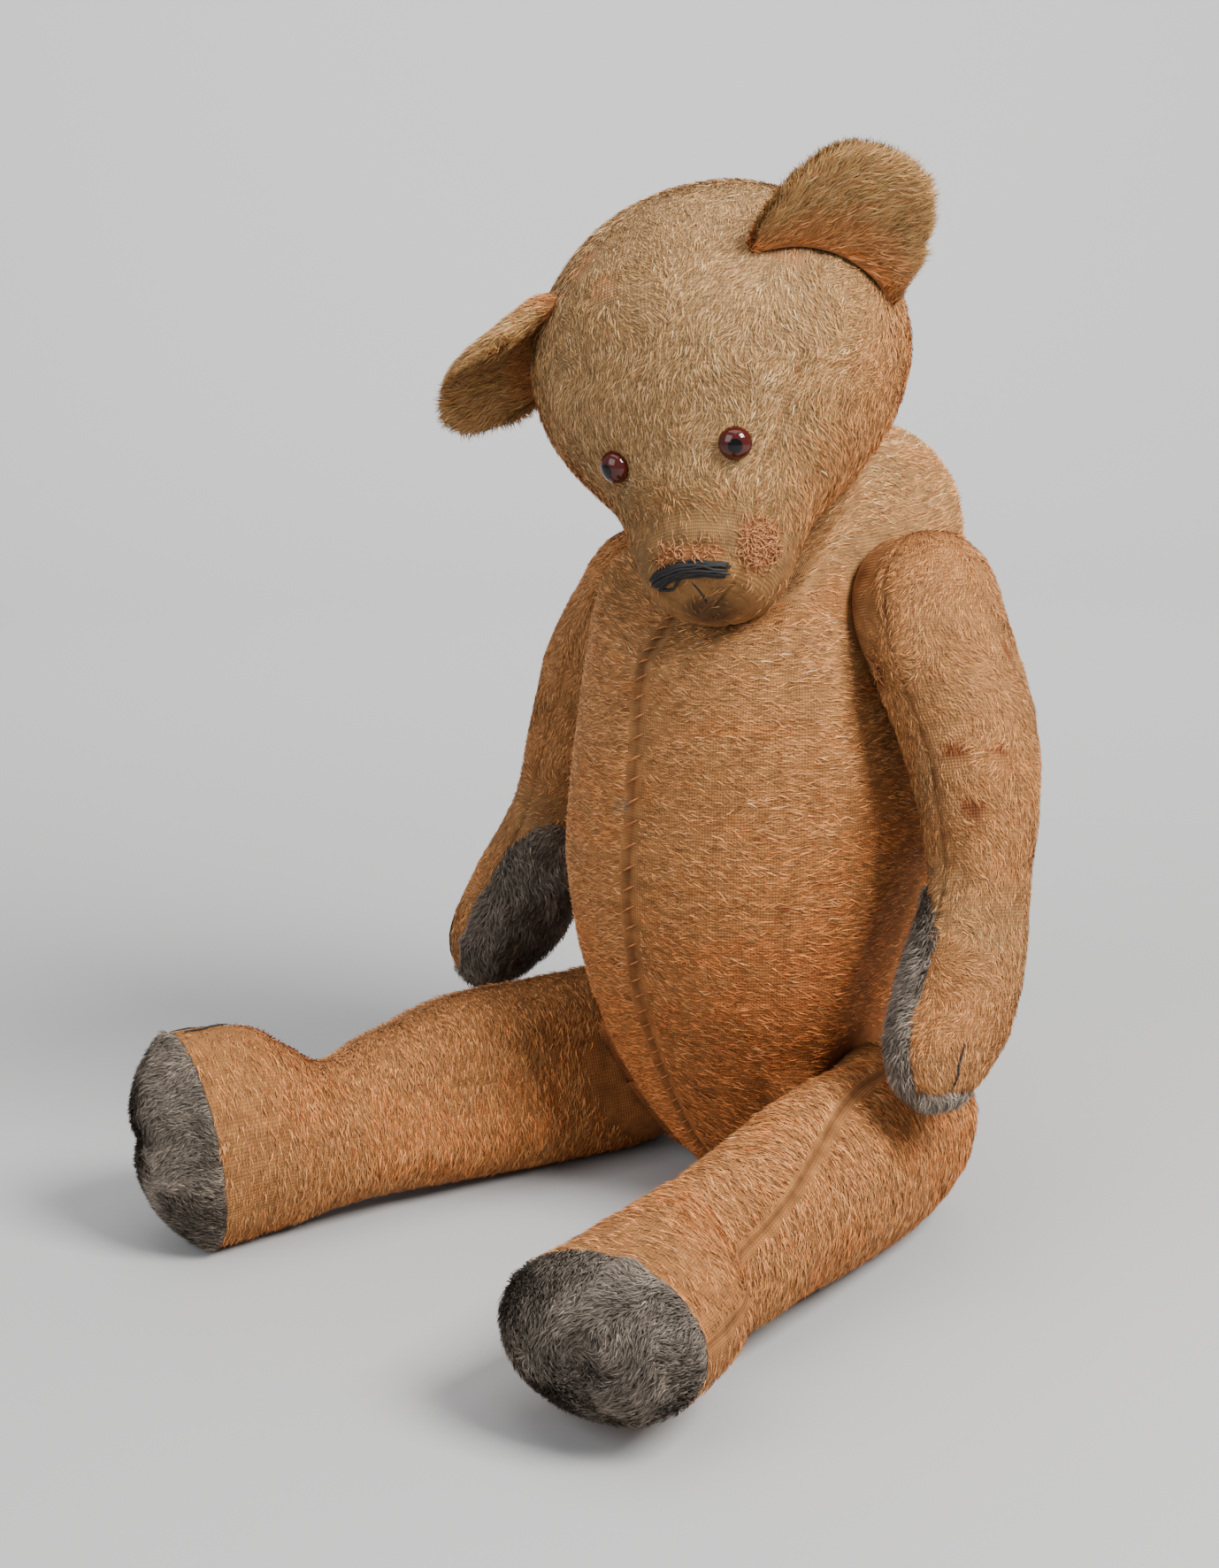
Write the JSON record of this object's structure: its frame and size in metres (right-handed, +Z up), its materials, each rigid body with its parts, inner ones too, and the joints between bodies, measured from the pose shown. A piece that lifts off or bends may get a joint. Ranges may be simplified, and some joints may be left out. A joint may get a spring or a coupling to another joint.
{
  "type": "jointed teddy bear",
  "caption": "Seated teddy bear of worn golden mohair, with disc joints at the neck, shoulders and hips, glass eyes, a stitched nose and grey plush paw and foot pads.",
  "frame": {"origin": "centre of the seated bear's footprint box, on the floor it sits on", "axes": "+Z up, -Y the way the bear faces, +X its left side"},
  "size_m": [0.2948, 0.307, 0.405],
  "materials": {
    "head_mohair": "worn short mohair pile on a woven backing",
    "body_mohair": "worn short mohair pile on a woven backing",
    "limb_mohair": "worn short mohair pile on a woven backing",
    "ear_mohair": "longer mohair pile",
    "grey_plush": "matted grey plush",
    "wood_wool": "packed wood wool",
    "hardboard": "bare hardboard",
    "steel": "bare steel wire and washers",
    "brown_glass": "glossy brown glass with a dark pupil",
    "black_thread": "black cotton thread"
  },
  "bodies": {
    "torso": {"left_hip_cotter_pin": "steel", "left_hip_torso_disc": "hardboard", "left_hip_torso_washer": "steel", "left_shoulder_cotter_pin": "steel", "left_shoulder_torso_disc": "hardboard", "left_shoulder_torso_washer": "steel", "neck_cotter_pin": "steel", "neck_torso_disc": "hardboard", "neck_torso_washer": "steel", "right_hip_cotter_pin": "steel", "right_hip_torso_disc": "hardboard", "right_hip_torso_washer": "steel", "right_shoulder_cotter_pin": "steel", "right_shoulder_torso_disc": "hardboard", "right_shoulder_torso_washer": "steel", "torso_left_panel": "body_mohair", "torso_right_panel": "body_mohair", "torso_stuffing": "wood_wool"},
    "head": {"head_gusset": "head_mohair", "head_left_side": "head_mohair", "head_right_side": "head_mohair", "head_stuffing": "wood_wool", "left_ear_back": "ear_mohair", "left_ear_front": "ear_mohair", "left_eye_wire_loop": "steel", "left_glass_eye": "brown_glass", "mouth_stitch": "black_thread", "neck_head_disc": "hardboard", "neck_head_washer": "steel", "nose_stitch": "black_thread", "right_ear_back": "ear_mohair", "right_ear_front": "ear_mohair", "right_eye_wire_loop": "steel", "right_glass_eye": "brown_glass"},
    "left_arm": {"left_arm_inner_panel": "limb_mohair", "left_arm_outer_panel": "limb_mohair", "left_arm_stuffing": "wood_wool", "left_paw_pad": "grey_plush", "left_shoulder_arm_disc": "hardboard", "left_shoulder_arm_washer": "steel"},
    "right_arm": {"right_arm_inner_panel": "limb_mohair", "right_arm_outer_panel": "limb_mohair", "right_arm_stuffing": "wood_wool", "right_paw_pad": "grey_plush", "right_shoulder_arm_disc": "hardboard", "right_shoulder_arm_washer": "steel"},
    "left_leg": {"left_foot_pad": "grey_plush", "left_hip_leg_disc": "hardboard", "left_hip_leg_washer": "steel", "left_leg_inner_panel": "limb_mohair", "left_leg_outer_panel": "limb_mohair", "left_leg_stuffing": "wood_wool"},
    "right_leg": {"right_foot_pad": "grey_plush", "right_hip_leg_disc": "hardboard", "right_hip_leg_washer": "steel", "right_leg_inner_panel": "limb_mohair", "right_leg_outer_panel": "limb_mohair", "right_leg_stuffing": "wood_wool"}
  },
  "joints": [
    {"name": "neck", "type": "hinge", "parent": "torso", "child": "head", "pos_m": [0.00501, 0.07761, 0.286], "axis": [0, -0.6157, 0.788], "continuous": true},
    {"name": "left_shoulder", "type": "hinge", "parent": "torso", "child": "left_arm", "pos_m": [0.05801, 0.07761, 0.234], "axis": [-0.9636, 0, -0.2672], "range_deg": [-140, 95]},
    {"name": "left_hip", "type": "hinge", "parent": "torso", "child": "left_leg", "pos_m": [0.05001, 0.05561, 0.04284], "axis": [0.9519, 0.1338, -0.2756], "range_deg": [-12, 195]},
    {"name": "right_shoulder", "type": "hinge", "parent": "torso", "child": "right_arm", "pos_m": [-0.04999, 0.07761, 0.22], "axis": [-0.9397, 0, 0.342], "range_deg": [-140, 95]},
    {"name": "right_hip", "type": "hinge", "parent": "torso", "child": "right_leg", "pos_m": [-0.03999, 0.05561, 0.04284], "axis": [0.924, -0.265, 0.2756], "range_deg": [-12, 195]}
  ]
}
